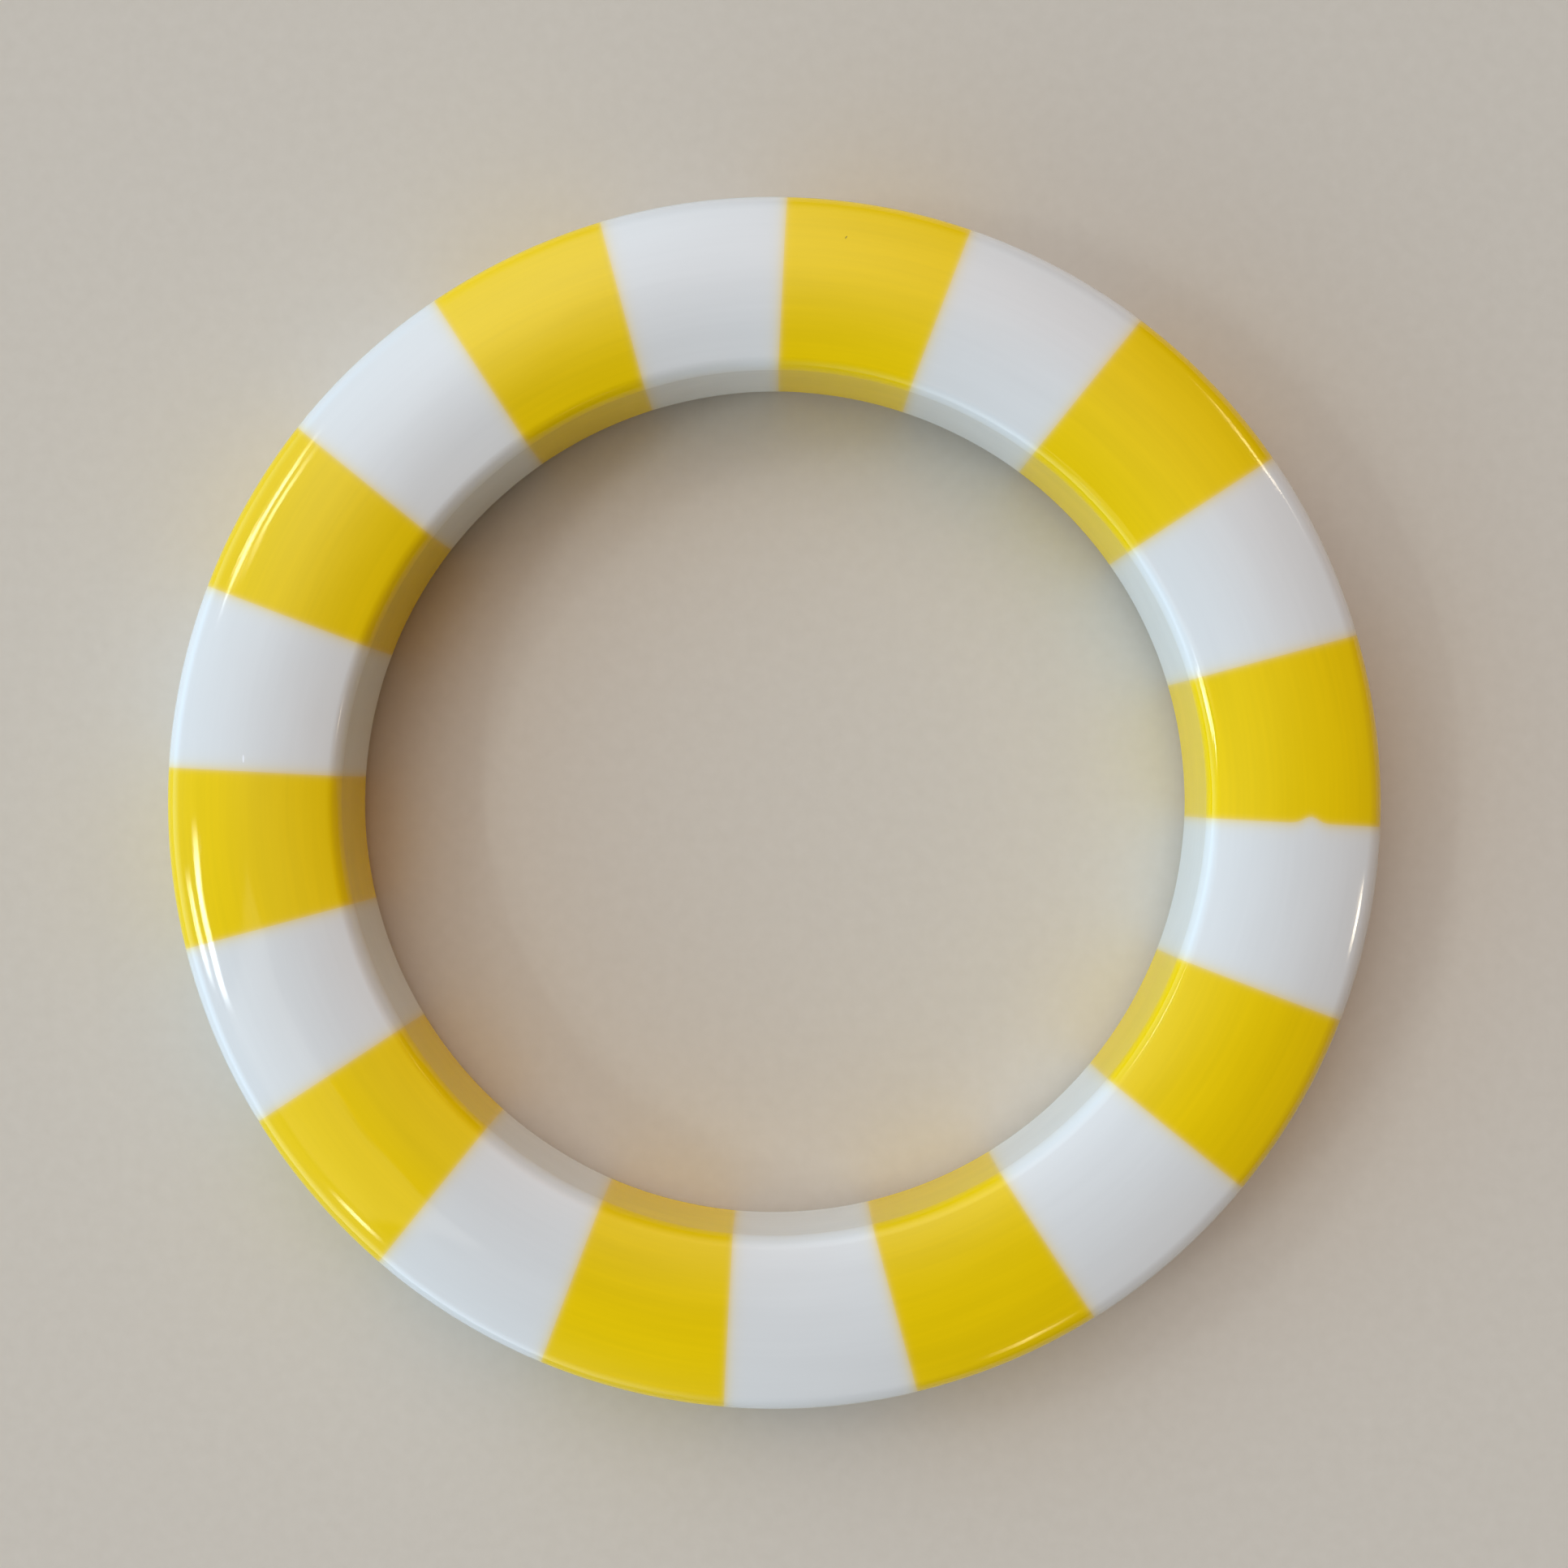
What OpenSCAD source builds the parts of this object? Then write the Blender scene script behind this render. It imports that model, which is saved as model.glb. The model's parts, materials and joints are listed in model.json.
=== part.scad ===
// Solid ring of butt-glued plastic wedges in two alternating colours, bored and polished after gluing.
// Origin: centre of the ring at mid height. +Z points out of the upper face.

/* [Ring] */
// Diameter of the straight wall of the hole
bore_d = 66; // [60:0.5:70]
// Height between the crowns of the two faces
ring_h = 11.2; // [10:0.1:16]
// Width of the shallow dome across each face, between the rounded edges
face_w = 11.2; // [8:0.1:12]

/* [Edges] */
// Radius of the rounded edges at the hole
bore_edge_r = 1.3; // [0.8:0.1:2]
// Radius of the rounded edges at the rim
rim_edge_r = 2; // [1:0.1:2.5]

/* [Segments] */
// Pairs of segments, one white and one yellow in each
pair_count = 10; // [6:1:14]
// Angle of the first glue joint, counted from +X
first_joint_angle = 15.1; // [0:0.1:35]
// How far the centre of the glued blank lies from the ring's axis, along X
blank_offset_x = -1.4; // [-2:0.1:2]
// How far the centre of the glued blank lies from the ring's axis, along Y
blank_offset_y = 0.5; // [-2:0.1:2]
// Thickness of the adhesive between two segments
glue_t = 0.1; // [0.05:0.05:0.3]

/* [Hidden] */
$fn = 180;
segment_count = 2 * pair_count;
segment_angle = 360 / segment_count;
blank_centre = [blank_offset_x, blank_offset_y];

// Each dome runs into its edge roundings at the slope of a 7-24-25 triangle, about 16 degrees
slope_sin = 7 / 25;
slope_cos = 24 / 25;

// The section lies in the (radius, height) plane: a shallow dome on each face and on the rim, a straight
// wall at the hole, and a rounding at each edge that touches both of its neighbours
bore_r = bore_d / 2;
face_dome_r = face_w / 2 / slope_sin;
face_end_z = ring_h / 2 - face_dome_r * (1 - slope_cos);
face_start_x = bore_r + bore_edge_r * (1 - slope_sin);
face_dome_c = [face_start_x + face_w / 2, ring_h / 2 - face_dome_r];
bore_edge_c = [bore_r + bore_edge_r, face_end_z - bore_edge_r * slope_cos];
rim_edge_c = [face_start_x + face_w - rim_edge_r * slope_sin, face_end_z - rim_edge_r * slope_cos];
rim_dome_r = rim_edge_c[1] / slope_sin + rim_edge_r;
rim_dome_c = [rim_edge_c[0] - (rim_dome_r - rim_edge_r) * slope_cos, 0];
// Directions from the centre of a rounding to the points where it touches its neighbours
bore_edge_up = [-slope_sin, slope_cos];
rim_edge_up = [slope_sin, slope_cos];
rim_edge_out = [slope_cos, slope_sin];

// Longer than any cut from the blank's centre through the rim, and deeper than the section
reach = 2 * (rim_edge_c[0] + rim_edge_r);
cut_h = 2 * ring_h;

function mirrored(p) = [p[0], -p[1]];
function segment_name(colour, pair) = str(colour, "_segment_", pair < 10 ? "0" : "", pair);
function joint_angle(index) = first_joint_angle + index * segment_angle;

// The part of a disc inside an outline whose sides run from the disc's centre to where it touches its neighbours
module disc_part(centre, radius, outline) {
    intersection() {
        translate(centre) circle(radius);
        polygon(outline);
    }
}

module upper_edges() {
    disc_part(face_dome_c, face_dome_r, [
        [bore_edge_c[0], 0],
        bore_edge_c,
        bore_edge_c + 2 * bore_edge_r * bore_edge_up,
        [face_dome_c[0], ring_h],
        rim_edge_c + 2 * rim_edge_r * rim_edge_up,
        rim_edge_c,
        [rim_edge_c[0], 0]
    ]);
    disc_part(bore_edge_c, bore_edge_r, [
        bore_edge_c,
        bore_edge_c - [2 * bore_edge_r, 0],
        bore_edge_c + 2 * bore_edge_r * [-1, 1],
        bore_edge_c + 2 * bore_edge_r * bore_edge_up
    ]);
    disc_part(rim_edge_c, rim_edge_r, [
        rim_edge_c,
        rim_edge_c + 2 * rim_edge_r * rim_edge_up,
        rim_edge_c + 2 * rim_edge_r * (rim_edge_up + rim_edge_out),
        rim_edge_c + 2 * rim_edge_r * rim_edge_out
    ]);
}

module section() {
    upper_edges();
    mirror([0, 1]) upper_edges();
    disc_part(rim_dome_c, rim_dome_r, [
        rim_edge_c,
        rim_edge_c + 2 * rim_edge_r * rim_edge_out,
        [reach, 0],
        mirrored(rim_edge_c + 2 * rim_edge_r * rim_edge_out),
        mirrored(rim_edge_c)
    ]);
    translate([bore_r, -bore_edge_c[1]]) square([bore_edge_r, 2 * bore_edge_c[1]]);
}

module whole_ring() {
    rotate_extrude() section();
}

// Wedge between glue joints index and index + 1, less half a glue film on each side
module segment(index) {
    middle_angle = joint_angle(index + 0.5);
    tip_shift = glue_t / 2 / sin(segment_angle / 2);
    half_width = reach * tan(segment_angle / 2);
    intersection() {
        whole_ring();
        translate([blank_centre[0], blank_centre[1], -cut_h / 2]) rotate(middle_angle) translate([tip_shift, 0])
            linear_extrude(cut_h) polygon([[0, 0], [reach, -half_width], [reach, half_width]]);
    }
}

module white_segment(pair) {
    color("whitesmoke") segment(2 * pair - 2);
}

module yellow_segment(pair) {
    color("gold") segment(2 * pair - 1);
}

// One thin film of set adhesive in every joint
module glue_films() {
    color("lightyellow") intersection() {
        whole_ring();
        for (index = [0:segment_count - 1]) {
            translate(blank_centre) rotate(joint_angle(index)) translate([0, -glue_t / 2, -cut_h / 2])
                cube([reach, glue_t, cut_h]);
        }
    }
}

for (pair = [1:pair_count]) {
    white_segment(pair);
    yellow_segment(pair);
}
glue_films();
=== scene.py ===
"""Hand-size ring glued up from white and yellow resin wedges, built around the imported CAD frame.

Every wedge and every glue film is a dense smooth mesh on the same section and joint planes as its CAD
node, with the slight waviness of a hand-polished surface. Lengths are in metres and angles in radians,
apart from the light settings, which are in degrees.
"""
import json
import math

import bpy
import numpy as np
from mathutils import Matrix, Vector


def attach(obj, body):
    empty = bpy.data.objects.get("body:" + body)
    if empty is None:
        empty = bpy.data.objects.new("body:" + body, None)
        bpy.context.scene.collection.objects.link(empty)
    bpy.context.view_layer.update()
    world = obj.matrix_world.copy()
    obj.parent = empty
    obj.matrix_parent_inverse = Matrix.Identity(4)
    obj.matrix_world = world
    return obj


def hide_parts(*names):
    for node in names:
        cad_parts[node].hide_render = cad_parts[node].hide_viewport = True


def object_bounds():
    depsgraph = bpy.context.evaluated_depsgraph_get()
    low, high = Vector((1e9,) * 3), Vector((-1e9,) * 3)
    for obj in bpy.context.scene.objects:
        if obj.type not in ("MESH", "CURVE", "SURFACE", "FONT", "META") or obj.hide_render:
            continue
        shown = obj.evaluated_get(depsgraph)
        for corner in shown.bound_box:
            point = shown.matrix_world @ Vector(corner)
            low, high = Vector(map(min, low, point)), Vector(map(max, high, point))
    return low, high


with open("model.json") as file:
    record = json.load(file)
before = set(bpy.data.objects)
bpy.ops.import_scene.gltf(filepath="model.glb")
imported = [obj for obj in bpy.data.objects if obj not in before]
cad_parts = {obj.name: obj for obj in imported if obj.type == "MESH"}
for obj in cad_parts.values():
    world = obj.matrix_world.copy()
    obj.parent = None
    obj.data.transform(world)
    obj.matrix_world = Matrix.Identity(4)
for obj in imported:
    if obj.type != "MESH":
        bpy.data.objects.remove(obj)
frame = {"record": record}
cad_lo, cad_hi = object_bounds()

scene = bpy.context.scene
MM = 0.001
TURN = 2 * math.pi
UPRIGHT = math.pi / 2

# ---------------------------------------------------------------- sizes, as in the CAD source
bore = next(mount for mount in frame["record"]["mounts"] if mount["name"] == "bore")
BORE_R = bore["dims"]["r_mm"] * MM
HALF_H = (cad_hi.z - cad_lo.z) / 2
FLOOR_Z = cad_lo.z
FACE_W = 11.2 * MM
BORE_EDGE_R = 1.3 * MM
RIM_EDGE_R = 2 * MM
GLUE_T = 0.1 * MM
PAIRS = 10
JOINTS = 2 * PAIRS
STEP = TURN / JOINTS
FIRST_JOINT = math.radians(15.1)
BLANK = np.array([-1.4, 0.5]) * MM

# ---------------------------------------------------------------- the section
# Each dome ends at the slope of a 7-24-25 triangle, where the rounding of an edge takes over
SLOPE_SIN, SLOPE_COS = 7 / 25, 24 / 25
SLOPE = math.asin(SLOPE_SIN)
DOME_R = FACE_W / 2 / SLOPE_SIN
FACE_END_Z = HALF_H - DOME_R * (1 - SLOPE_COS)
FACE_START = BORE_R + BORE_EDGE_R * (1 - SLOPE_SIN)
DOME_C = (FACE_START + FACE_W / 2, HALF_H - DOME_R)
BORE_EDGE_C = (BORE_R + BORE_EDGE_R, FACE_END_Z - BORE_EDGE_R * SLOPE_COS)
RIM_EDGE_C = (FACE_START + FACE_W - RIM_EDGE_R * SLOPE_SIN, FACE_END_Z - RIM_EDGE_R * SLOPE_COS)
RIM_R = RIM_EDGE_C[1] / SLOPE_SIN + RIM_EDGE_R
RIM_C = (RIM_EDGE_C[0] - (RIM_R - RIM_EDGE_R) * SLOPE_COS, 0.0)

# Mesh steps on each stretch of the section, and along one wedge
WALL_STEPS = 12
BORE_EDGE_STEPS = 18
FACE_STEPS = 42
RIM_EDGE_STEPS = 16
RIM_STEPS = 18
WEDGE_STEPS = 24


def below(centre):
    """The same point on the lower half of the section."""
    return centre[0], -centre[1]


# From the top of the bore wall round to its foot: centre, radius, first and last tilt, and steps.
# Tilt is the angle of the outward normal from +Z, positive away from the axis.
ARCS = [
    (BORE_EDGE_C, BORE_EDGE_R, -UPRIGHT, -SLOPE, BORE_EDGE_STEPS),
    (DOME_C, DOME_R, -SLOPE, SLOPE, FACE_STEPS),
    (RIM_EDGE_C, RIM_EDGE_R, SLOPE, UPRIGHT - SLOPE, RIM_EDGE_STEPS),
    (RIM_C, RIM_R, UPRIGHT - SLOPE, UPRIGHT + SLOPE, RIM_STEPS),
    (below(RIM_EDGE_C), RIM_EDGE_R, UPRIGHT + SLOPE, math.pi - SLOPE, RIM_EDGE_STEPS),
    (below(DOME_C), DOME_R, math.pi - SLOPE, math.pi + SLOPE, FACE_STEPS),
    (below(BORE_EDGE_C), BORE_EDGE_R, math.pi + SLOPE, 3 * UPRIGHT, BORE_EDGE_STEPS),
]


def section():
    """Radius, height, tilt and share of the girth at each point of the closed section, and the girth."""
    rows = []
    for i in range(WALL_STEPS):
        rows.append((BORE_R, BORE_EDGE_C[1] * (2 * i / WALL_STEPS - 1), -UPRIGHT))
    for centre, radius, start, end, steps in ARCS:
        for i in range(steps):
            tilt = start + (end - start) * i / steps
            rows.append((centre[0] + radius * math.sin(tilt), centre[1] + radius * math.cos(tilt), tilt))
    points = np.array(rows)
    lengths = np.linalg.norm(np.roll(points[:, :2], -1, axis=0) - points[:, :2], axis=1)
    along = np.concatenate([[0], np.cumsum(lengths)])
    return points[:, 0], points[:, 1], points[:, 2], along[:-1] / along[-1], along[-1]


R, Z, TILT, ALONG, GIRTH = section()

# ---------------------------------------------------------------- hand finish
# Waves of the polished surface: turns round the ring, turns round the section, size in mm, and two phases
WAVES = [
    (2, 0, 0.022, 0.6, 0.0),
    (3, 1, 0.012, 2.1, 0.4),
    (5, 2, 0.008, 4.4, 1.9),
    (7, 3, 0.006, 0.9, 3.3),
    (11, 2, 0.004, 5.2, 0.8),
    (14, 5, 0.003, 2.7, 5.0),
    (19, 4, 0.002, 1.3, 2.2),
    (23, 9, 0.003, 3.8, 1.1),
    (37, 11, 0.002, 0.2, 4.1),
]
DEEPEST = sum(wave[2] for wave in WAVES) * MM
# A flat left by polishing on the upper edge of the hole, which catches the light as a broad streak
FLAT_ANGLE = math.radians(14)
FLAT_SPAN = math.radians(10)
FLAT_TILT = math.radians(-32)
FLAT_WIDTH = 0.22 * MM
FLAT_DEPTH = FLAT_WIDTH**2 / BORE_EDGE_R
FLAT_PLACE = 2 * BORE_EDGE_C[1] + BORE_EDGE_R * (FLAT_TILT + UPRIGHT)


def waviness(angle):
    """Rise over the true section (0 or less), and its slopes along the section and round the ring."""
    rise = np.full_like(angle, -DEEPEST)
    by_along = np.zeros_like(angle)
    by_angle = np.zeros_like(angle)
    for round_turns, section_turns, size, shift, lift in WAVES:
        a = round_turns * angle + shift
        b = TURN * section_turns * ALONG[:, None] + lift
        rise += size * MM * np.cos(a) * np.cos(b)
        by_along -= size * MM * np.cos(a) * np.sin(b) * TURN * section_turns / GIRTH
        by_angle -= size * MM * np.sin(a) * np.cos(b) * round_turns
    away = (ALONG * GIRTH - FLAT_PLACE)[:, None]
    turned = (np.remainder(angle - FLAT_ANGLE + math.pi, TURN) - math.pi) / FLAT_SPAN
    flat = FLAT_DEPTH * np.exp(-(away**2) / (2 * FLAT_WIDTH**2)) * np.exp(-(turned**4))
    rise -= flat
    by_along += flat * away / FLAT_WIDTH**2
    by_angle += flat * 4 * turned**3 / FLAT_SPAN
    return rise, by_along, by_angle


# The white side of this joint swells into the yellow one, on the upper half only
BULGE_JOINT = 19
BULGE_R = 40.5 * MM
BULGE_WIDTH = 0.55 * MM
BULGE_RISE = 0.5 * MM


def joint_angles(joint, offset):
    """Angle at which the joint's plane, moved sideways by offset, meets each circle of the section."""
    turn = FIRST_JOINT + joint * STEP
    direction = np.array([math.cos(turn), math.sin(turn)])
    across = np.array([-direction[1], direction[0]])
    start = BLANK + offset * across
    reach = np.sqrt(R**2 - start @ start + (start @ direction) ** 2) - start @ direction
    spot = start + reach[:, None] * direction
    if joint % JOINTS == BULGE_JOINT:
        hump = BULGE_RISE * np.exp(-((R - BULGE_R) ** 2) / (2 * BULGE_WIDTH**2)) * (Z > 0)
        spot = spot + hump[:, None] * across
    angle = np.arctan2(spot[:, 1], spot[:, 0])
    return angle + TURN * np.round((turn - angle) / TURN)


def swept(start, end, slices):
    """Points, normals and distances from the nearer end, of the section swept between two sets of angles."""
    share = np.linspace(0, 1, slices + 1)
    angle = start[:, None] * (1 - share) + end[:, None] * share
    rise, by_along, by_angle = waviness(angle)
    out, up = np.sin(TILT)[:, None], np.cos(TILT)[:, None]
    radius = R[:, None] + rise * out
    height = Z[:, None] + rise * up
    cosine, sine = np.cos(angle), np.sin(angle)
    points = np.stack([radius * cosine, radius * sine, height], axis=2)
    # The normal leans back from the way the surface rises, along the section and round the ring
    lean_out = out - by_along * up
    lean_up = up + by_along * out
    lean_on = -by_angle / radius
    normals = np.stack(
        [lean_out * cosine - lean_on * sine, lean_out * sine + lean_on * cosine, lean_up], axis=2
    )
    normals /= np.linalg.norm(normals, axis=2, keepdims=True)
    gap = np.minimum(angle - start[:, None], end[:, None] - angle) * radius + GLUE_T / 2
    return points, normals, gap


def solids(name, spans, slices):
    """One object of closed solids: the section swept over each span of angles, with flat fanned ends.

    A span is its first angles, its last angles and its tone.
    """
    count = len(R)
    after = np.roll(np.arange(count), -1)
    verts, normals, gaps, tones, quads, fans = [], [], [], [], [], []
    base = 0
    for start, end, tone in spans:
        points, outward, gap = swept(start, end, slices)
        end_middles = points[:, [0, -1], :].mean(axis=0)
        verts += [points.reshape(-1, 3), end_middles]
        normals += [outward.reshape(-1, 3), np.zeros((2, 3))]
        gaps += [gap.ravel(), np.full(2, GLUE_T / 2)]
        index = base + np.arange(gap.size).reshape(gap.shape)
        ring = np.stack([index[:, :-1], index[after, :-1], index[after, 1:], index[:, 1:]], axis=2)
        quads.append(ring.reshape(-1, 4))
        base += index.size
        fans.append(np.stack([index[after, 0], index[:, 0], np.full(count, base)], axis=1))
        fans.append(np.stack([index[:, -1], index[after, -1], np.full(count, base + 1)], axis=1))
        base += 2
        tones.append(np.full(index.size + 2, tone))
    quads, fans = np.concatenate(quads), np.concatenate(fans)
    mesh = bpy.data.meshes.new(name)
    mesh.from_pydata(np.concatenate(verts).tolist(), [], quads.tolist() + fans.tolist())
    mesh.polygons.foreach_set("use_smooth", [True] * len(quads) + [False] * len(fans))
    for label, values in (("joint_gap", np.concatenate(gaps)), ("tone", np.concatenate(tones))):
        attribute = mesh.attributes.new(label, "FLOAT", "POINT")
        attribute.data.foreach_set("value", values.astype(np.float32))
    mesh.update()
    # The swept faces take the true normals, and a zero normal leaves a flat end its own
    loops = np.concatenate(normals)[quads.ravel()]
    ends = np.zeros((3 * len(fans), 3))
    mesh.normals_split_custom_set(np.concatenate([loops, ends]).tolist())
    piece = bpy.data.objects.new(name, mesh)
    scene.collection.objects.link(piece)
    return piece


# ---------------------------------------------------------------- node helpers
class Graph:
    """The nodes of a material, a light or a world, made by short calls."""

    def __init__(self, tree):
        self.tree = tree

    def node(self, kind, **settings):
        made = self.tree.nodes.new(kind)
        for key, value in settings.items():
            setattr(made, key, value)
        return made

    def feed(self, socket, value):
        if isinstance(value, bpy.types.NodeSocket):
            self.tree.links.new(value, socket)
        else:
            socket.default_value = value

    def math(self, operation, *values):
        made = self.node("ShaderNodeMath", operation=operation)
        for socket, value in zip(made.inputs, values):
            self.feed(socket, value)
        return made.outputs[0]

    def vector(self, operation, *values):
        made = self.node("ShaderNodeVectorMath", operation=operation)
        for socket, value in zip(made.inputs, values):
            self.feed(socket, value)
        return made.outputs["Value" if operation in ("LENGTH", "DOT_PRODUCT") else "Vector"]

    def scaled(self, vector, size):
        made = self.node("ShaderNodeVectorMath", operation="SCALE")
        self.feed(made.inputs["Vector"], vector)
        self.feed(made.inputs["Scale"], size)
        return made.outputs["Vector"]

    def split(self, vector):
        made = self.node("ShaderNodeSeparateXYZ")
        self.feed(made.inputs[0], vector)
        return made.outputs

    def joined(self, x, y, z):
        made = self.node("ShaderNodeCombineXYZ")
        for socket, value in zip(made.inputs, (x, y, z)):
            self.feed(socket, value)
        return made.outputs[0]

    def spread(self, value, low, high, to_low=0.0, to_high=1.0, smooth=False):
        """Value taken from the range low to high into another range, and held at its ends."""
        made = self.node("ShaderNodeMapRange", interpolation_type="SMOOTHSTEP" if smooth else "LINEAR")
        for socket, item in zip(made.inputs, (value, low, high, to_low, to_high)):
            self.feed(socket, item)
        return made.outputs["Result"]

    def mix(self, share, a, b, blend="MIX"):
        made = self.node("ShaderNodeMix", data_type="RGBA", blend_type=blend)
        for key, value in (("Factor_Float", share), ("A_Color", a), ("B_Color", b)):
            self.feed(next(s for s in made.inputs if s.identifier == key), value)
        return next(s for s in made.outputs if s.identifier == "Result_Color")

    def blend(self, share, first, second):
        made = self.node("ShaderNodeMixShader")
        for socket, value in zip(made.inputs, (share, first, second)):
            self.feed(socket, value)
        return made.outputs[0]

    def place(self):
        return self.node("ShaderNodeTexCoord").outputs["Object"]

    def attribute(self, name):
        return self.node("ShaderNodeAttribute", attribute_name=name).outputs["Fac"]


def streaks(graph, across, along, detail):
    """Noise in lines that follow the ring: fine across the section, slow round it, and with no seam."""
    x, y, z = graph.split(graph.place())
    flat = graph.joined(x, y, 0.0)
    heading = graph.split(graph.vector("NORMALIZE", flat))
    noise = graph.node("ShaderNodeTexNoise", noise_dimensions="4D")
    spot = graph.joined(
        graph.math("MULTIPLY", graph.vector("LENGTH", flat), across),
        graph.math("MULTIPLY", z, across),
        graph.math("MULTIPLY", heading[0], along),
    )
    graph.feed(noise.inputs["Vector"], spot)
    graph.feed(noise.inputs["W"], graph.math("MULTIPLY", heading[1], along))
    noise.inputs["Scale"].default_value = 1.0
    noise.inputs["Detail"].default_value = detail
    noise.inputs["Roughness"].default_value = 0.55
    return noise.outputs["Fac"]


# ---------------------------------------------------------------- resin
WHITE = (0.80, 0.80, 0.775, 1.0)
YELLOW = (0.95, 0.65, 0.003, 1.0)
BETWEEN = (0.87, 0.72, 0.40, 1.0)
# Small marks in the upper face, a painted glint where a nick would shine and a dark speck: centre, direction
# of the long half axis, half axes, strength and colour
# A bright white spot painted into the base colour: a painted highlight that stands for the glint of a small
# nick, which the mesh does not have
PAINTED_GLINT = ((-40.0 * MM, 3.33 * MM, 5.55 * MM), (0.0, 1.0), 0.36 * MM, 0.085 * MM, 1.0, (1.0, 1.0, 1.0, 1.0))
SPECK = ((5.45 * MM, 42.75 * MM, 5.2 * MM), (0.6, 0.8), 0.16 * MM, 0.055 * MM, 0.75, (0.10, 0.07, 0.02, 1.0))
MARK_DEPTH = 1.5 * MM
# The noise of the clouding and of the polishing lines stays between these two almost everywhere
NOISE_LOW, NOISE_HIGH = 0.3, 0.7
# The noise of the polishing lines also sets the roughness, from the first of these ranges to the second
ROUGHNESS_FROM, ROUGHNESS_TO = (0.3, 0.75), (0.03, 0.085)
BUMP_HEIGHT = 0.0035 * MM


def marked(graph, colour, mark):
    """The colour with a small ellipse of the mark's colour in it, soft at the edge: a dark speck, or a
    painted glint.
    """
    centre, (x, y), long_r, short_r, strength, own = mark
    away = graph.vector("SUBTRACT", graph.place(), centre)
    axes = ((x, y, 0.0), (-y, x, 0.0), (0.0, 0.0, 1.0))
    shares = [
        graph.math("DIVIDE", graph.vector("DOT_PRODUCT", away, axis), half)
        for axis, half in zip(axes, (long_r, short_r, MARK_DEPTH))
    ]
    reach = graph.joined(*shares)
    inside = graph.spread(graph.vector("DOT_PRODUCT", reach, reach), 0.35, 1.0, 1.0, 0.0, smooth=True)
    return graph.mix(graph.math("MULTIPLY", inside, strength), colour, own)


def resin(name, own, clouding, grain, bleed=None, mark=None, sheen=(1.0, 1.0, 1.0, 1.0)):
    """Polished cast resin. bleed is the colour next door and the length over which it comes in at a joint."""
    material = bpy.data.materials.new(name)
    material.use_nodes = True
    graph = Graph(material.node_tree)
    shader = material.node_tree.nodes["Principled BSDF"]
    # Cast-in clouding, and faint lines left by polishing round the ring
    cloud = streaks(graph, across=260.0, along=1.6, detail=2.0)
    lines = streaks(graph, across=2600.0, along=2.2, detail=3.0)
    clouded = graph.spread(cloud, NOISE_LOW, NOISE_HIGH, -clouding, clouding)
    lined = graph.spread(lines, NOISE_LOW, NOISE_HIGH, -grain, grain)
    shade = graph.math("ADD", graph.math("ADD", clouded, lined), graph.attribute("tone"))
    colour = graph.mix(1.0, own, graph.math("ADD", shade, 1.0), "MULTIPLY")
    if bleed:
        beside, length = bleed
        reach = graph.math("DIVIDE", graph.attribute("joint_gap"), -length)
        share = graph.math("MULTIPLY", graph.math("EXPONENT", reach), 0.5)
        colour = graph.mix(share, colour, beside)
    # A dark speck, or a painted glint, which is a bright spot of base colour standing in for a highlight
    if mark:
        colour = marked(graph, colour, mark)
    graph.feed(shader.inputs["Base Color"], colour)
    graph.feed(shader.inputs["Roughness"], graph.spread(lines, *ROUGHNESS_FROM, *ROUGHNESS_TO))
    shader.inputs["IOR"].default_value = 1.5
    shader.inputs["Specular Tint"].default_value = sheen
    bump = graph.node("ShaderNodeBump")
    bump.inputs["Strength"].default_value = 1.0
    bump.inputs["Distance"].default_value = BUMP_HEIGHT
    graph.feed(bump.inputs["Height"], lines)
    graph.feed(shader.inputs["Normal"], bump.outputs["Normal"])
    return material


RESINS = {
    # The white resin carries the painted glint in its base colour
    "white": resin("white_resin", WHITE, clouding=0.02, grain=0.008, bleed=(YELLOW, 0.35 * MM), mark=PAINTED_GLINT),
    "yellow": resin(
        "yellow_resin", YELLOW, clouding=0.045, grain=0.02, bleed=(WHITE, 0.13 * MM), mark=SPECK,
        sheen=(1.0, 0.97, 0.6, 1.0),
    ),
}
set_adhesive = resin("set_adhesive", BETWEEN, clouding=0.02, grain=0.008)

# ---------------------------------------------------------------- the pieces
TONE_SPREAD = 0.012
for k in range(JOINTS):
    colour = ("white", "yellow")[k % 2]
    node = f"{colour}_segment_{k // 2 + 1:02d}"
    # Each wedge was cut from its own spot of the cast sheet, so no two are quite the same shade
    tone = TONE_SPREAD * math.sin(2.4 * k + 0.7)
    span = (joint_angles(k, GLUE_T / 2), joint_angles(k + 1, -GLUE_T / 2), tone)
    wedge = solids(node + "_polished", [span], WEDGE_STEPS)
    wedge.data.materials.append(RESINS[colour])
    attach(wedge, "root")
    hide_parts(node)

film_spans = [(joint_angles(k, -GLUE_T / 2), joint_angles(k, GLUE_T / 2), 0.0) for k in range(JOINTS)]
films = solids("glue_films_polished", film_spans, 1)
films.data.materials.append(set_adhesive)
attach(films, "root")
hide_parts("glue_films")

# ---------------------------------------------------------------- floor
FLOOR_HALF = 4.0
PAPER_DARK, PAPER_LIGHT = (0.655, 0.59, 0.495, 1.0), (0.705, 0.64, 0.545, 1.0)
BACKDROP = (0.52, 0.495, 0.45, 1.0)
FADE_START, FADE_END = 0.35, 1.1


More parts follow.
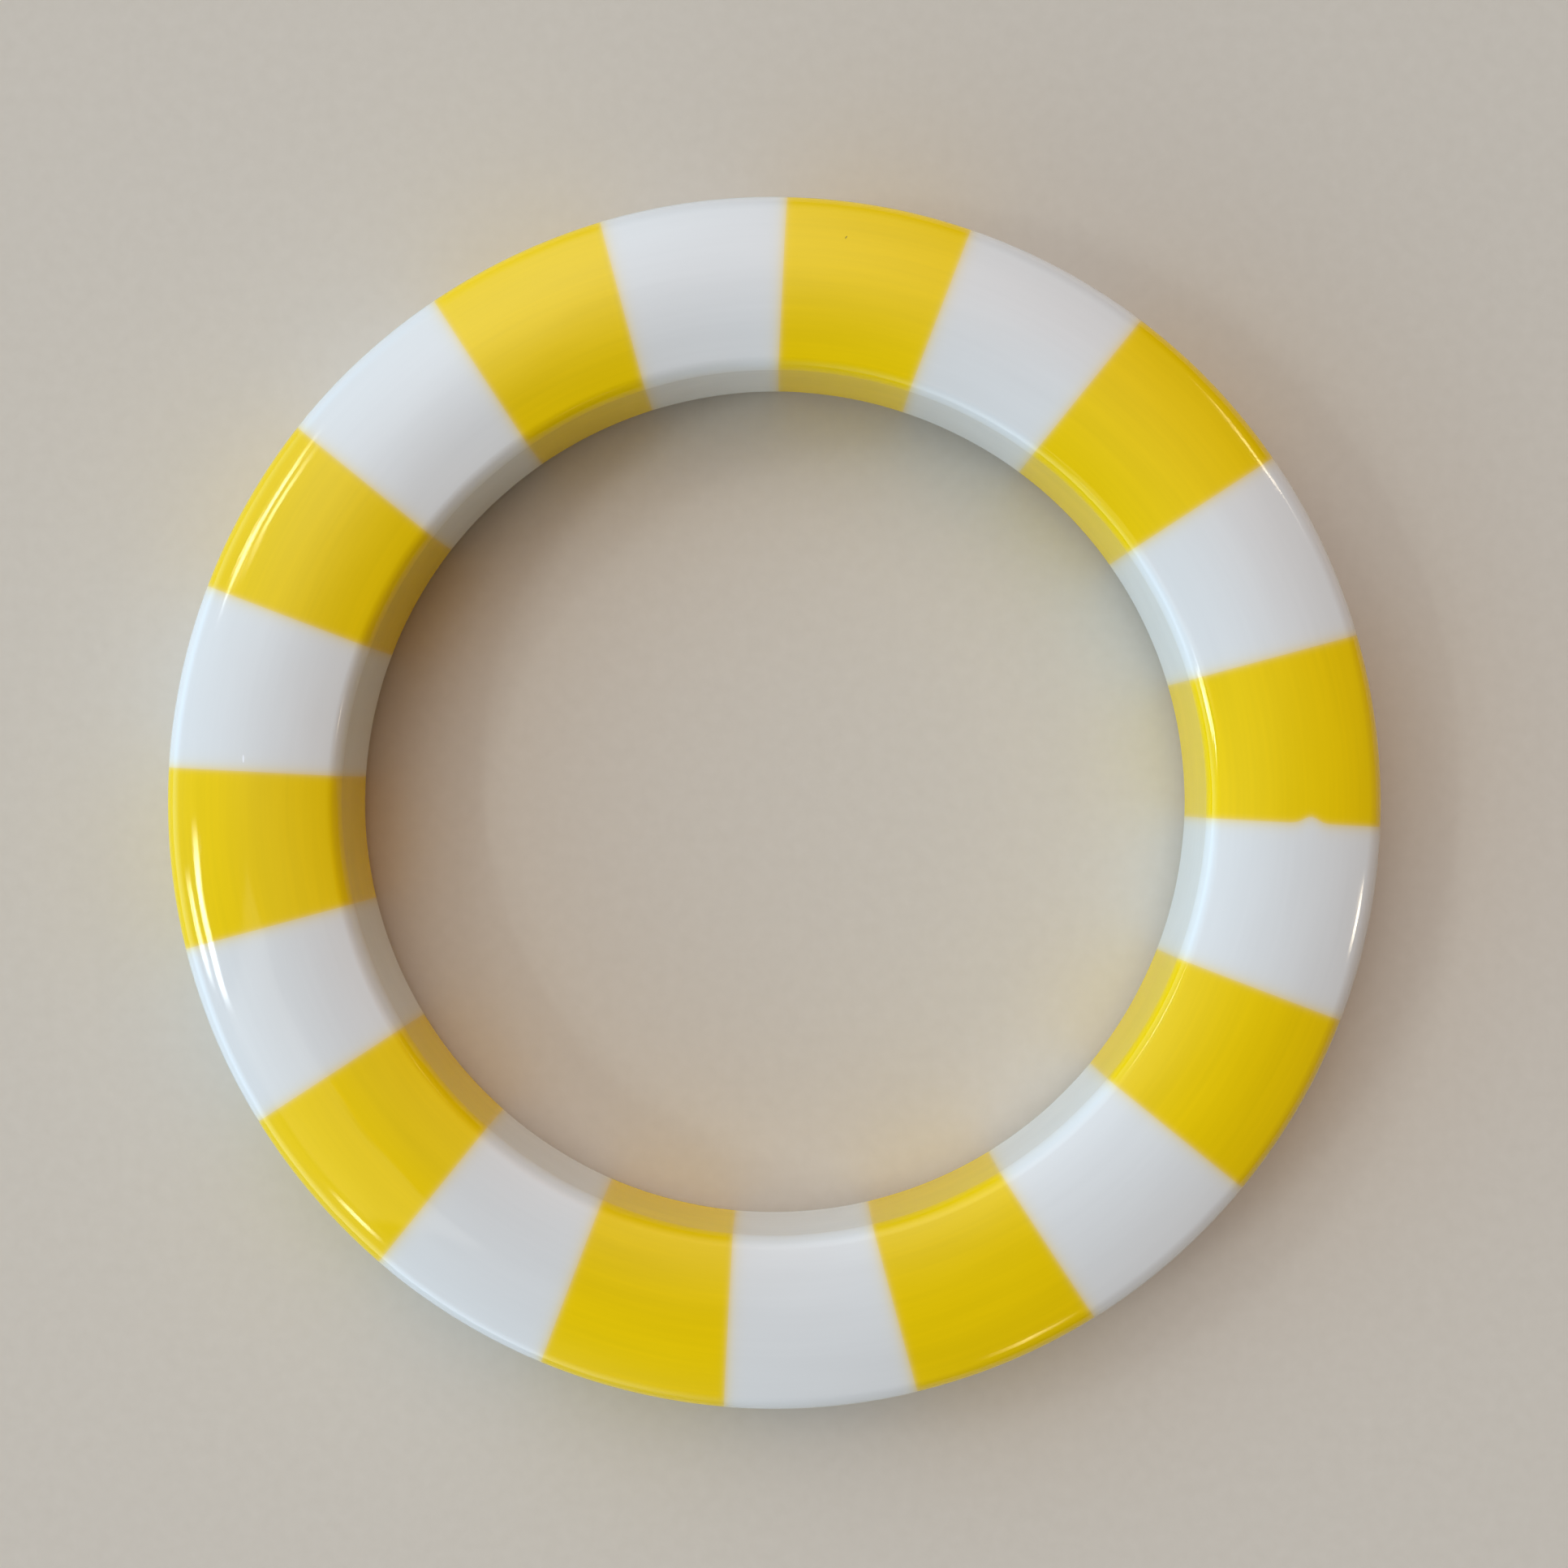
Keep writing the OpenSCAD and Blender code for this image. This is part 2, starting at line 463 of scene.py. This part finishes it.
def paper():
    """Pale paper. Far from the ring it turns into the plain backdrop, so low views have no horizon line."""
    material = bpy.data.materials.new("paper")
    material.use_nodes = True
    graph = Graph(material.node_tree)
    shader = material.node_tree.nodes["Principled BSDF"]
    fibre = graph.node("ShaderNodeTexNoise")
    graph.feed(fibre.inputs["Vector"], graph.place())
    fibre.inputs["Scale"].default_value = 900.0
    fibre.inputs["Detail"].default_value = 4.0
    graph.feed(shader.inputs["Base Color"], graph.mix(fibre.outputs["Fac"], PAPER_DARK, PAPER_LIGHT))
    shader.inputs["Roughness"].default_value = 0.8
    shader.inputs["Specular IOR Level"].default_value = 0.2
    backdrop = graph.node("ShaderNodeEmission")
    backdrop.inputs["Color"].default_value = BACKDROP
    far = graph.spread(graph.vector("LENGTH", graph.place()), FADE_START, FADE_END, smooth=True)
    surface = graph.blend(far, shader.outputs[0], backdrop.outputs[0])
    graph.feed(material.node_tree.nodes["Material Output"].inputs["Surface"], surface)
    return material


corners = [(x * FLOOR_HALF, y * FLOOR_HALF, FLOOR_Z) for x, y in ((-1, -1), (1, -1), (1, 1), (-1, 1))]
floor_mesh = bpy.data.meshes.new("floor")
floor_mesh.from_pydata(corners, [], [(0, 1, 2, 3)])
floor_mesh.materials.append(paper())
floor = bpy.data.objects.new("floor", floor_mesh)
scene.collection.objects.link(floor)

# ---------------------------------------------------------------- light
DISTANCE = 1.5
CLEAR, NEUTRAL, WARM = (0.85, 0.95, 1.0), (1.0, 0.97, 0.90), (1.0, 0.84, 0.62)
BLUE, PALE_BLUE, COOL, AMBER = (0.55, 1.0, 1.4), (0.72, 1.0, 1.28), (0.9, 1.0, 1.1), (1.0, 0.45, 0.17)
# Soft boxes: azimuth, zenith, angle covered round the ring, angle covered up and down, colour, radiance,
# and the share of each side's length that the fading towards its edges takes
BOX_LEVEL = 0.82
BOXES = {
    "pane_back": (152, 47.0, 24, 1.8, CLEAR, 30, (0.45, 0.3)),
    "pane_back_high": (150, 43.6, 18, 2.2, CLEAR, 13, (0.5, 0.4)),
    "pane_middle": (192.5, 45.0, 20, 3.2, CLEAR, 28, (0.3, 0.3)),
    "pane_middle_low": (193, 49.9, 13, 2.6, CLEAR, 26, (0.4, 0.3)),
    "pane_front": (225, 50, 8, 2.4, CLEAR, 16, (0.5, 0.4)),
    "card_front": (214, 33, 34, 29, NEUTRAL, 0.8, (0.06, 0.06)),
    "lamp_right": (36, 51.2, 22, 1.2, WARM, 15, (0.4, 0.3)),
    "lamp_right_front": (348, 51.6, 9, 2.4, WARM, 26, (0.5, 0.3)),
    "lamp_front": (295, 51.6, 12, 1.3, WARM, 14, (0.5, 0.4)),
}
# Broad glows of the studio dome: azimuth, zenith, colour and radiance
GLOWS = [
    (240, 80, COOL, 2.05),
    (210, 80, PALE_BLUE, 1.6),
    (180, 80, BLUE, 1.3),
    (150, 80, BLUE, 1.2),
    (120, 32, COOL, 2.0),
    (105, 57, COOL, 1.2),
    (60, 32, AMBER, 1.0),
    (350, 80, WARM, 0.3),
]
GLOW_SHARPNESS = 12
DOME_BASE = (0.005, 0.005, 0.005)


def towards(azimuth, zenith):
    """Unit vector from the ring to a direction given in degrees."""
    a, z = math.radians(azimuth), math.radians(zenith)
    return Vector((math.sin(z) * math.cos(a), math.sin(z) * math.sin(a), math.cos(z)))


def softbox(name, azimuth, zenith, wide, high, colour, radiance, fade):
    """A rectangular light that faces the ring and fades towards its edges."""
    way = towards(azimuth, zenith)
    light = bpy.data.lights.new(name, "AREA")
    light.shape = "RECTANGLE"
    light.size = 2 * DISTANCE * math.sin(math.radians(zenith)) * math.tan(math.radians(wide / 2))
    light.size_y = 2 * DISTANCE * math.tan(math.radians(high / 2))
    light.color = colour
    light.energy = 4 * BOX_LEVEL * radiance * light.size * light.size_y
    light.use_nodes = True
    graph = Graph(light.node_tree)
    sides = graph.split(graph.node("ShaderNodeNewGeometry").outputs["Parametric"])
    strength = 1.0
    for place, share in zip(sides, fade):
        from_middle = graph.math("ABSOLUTE", graph.math("SUBTRACT", place, 0.5))
        from_edge = graph.math("SUBTRACT", 0.5, from_middle)
        strength = graph.math("MULTIPLY", graph.spread(from_edge, 0.0, share, smooth=True), strength)
    graph.feed(light.node_tree.nodes["Emission"].inputs["Strength"], strength)
    lamp = bpy.data.objects.new(name, light)
    lamp.location = way * DISTANCE
    lamp.rotation_mode = "QUATERNION"
    lamp.rotation_quaternion = way.to_track_quat("Z", "Y")
    scene.collection.objects.link(lamp)


def studio_dome():
    """The surroundings: broad glows that the ring reflects, and for the camera the plain backdrop."""
    world = bpy.data.worlds.new("studio")
    world.use_nodes = True
    graph = Graph(world.node_tree)
    way = graph.node("ShaderNodeTexCoord").outputs["Generated"]
    total = DOME_BASE
    for azimuth, zenith, colour, radiance in GLOWS:
        near = graph.math("SUBTRACT", graph.vector("DOT_PRODUCT", way, towards(azimuth, zenith)), 1.0)
        share = graph.math("EXPONENT", graph.math("MULTIPLY", near, GLOW_SHARPNESS))
        glow = graph.scaled(colour, graph.math("MULTIPLY", share, radiance))
        total = graph.vector("ADD", glow, total)
    surroundings = world.node_tree.nodes["Background"]
    graph.feed(surroundings.inputs["Color"], total)
    backdrop = graph.node("ShaderNodeBackground")
    backdrop.inputs["Color"].default_value = BACKDROP
    seen = graph.node("ShaderNodeLightPath").outputs["Is Camera Ray"]
    surface = graph.blend(seen, surroundings.outputs[0], backdrop.outputs[0])
    graph.feed(world.node_tree.nodes["World Output"].inputs["Surface"], surface)
    return world


for name, settings in BOXES.items():
    softbox(name, *settings)
scene.world = studio_dome()

# ---------------------------------------------------------------- camera, looking straight down
CAMERA_PLACE = (0.75 * MM, 1.43 * MM, FLOOR_Z + 142.45 * MM)
camera_data = bpy.data.cameras.new("camera")
camera_data.lens = 40
camera_data.sensor_width = 36
camera_data.clip_start = 0.01
camera = bpy.data.objects.new("camera", camera_data)
camera.location = CAMERA_PLACE
scene.collection.objects.link(camera)
scene.camera = camera
scene.view_settings.view_transform = "Standard"
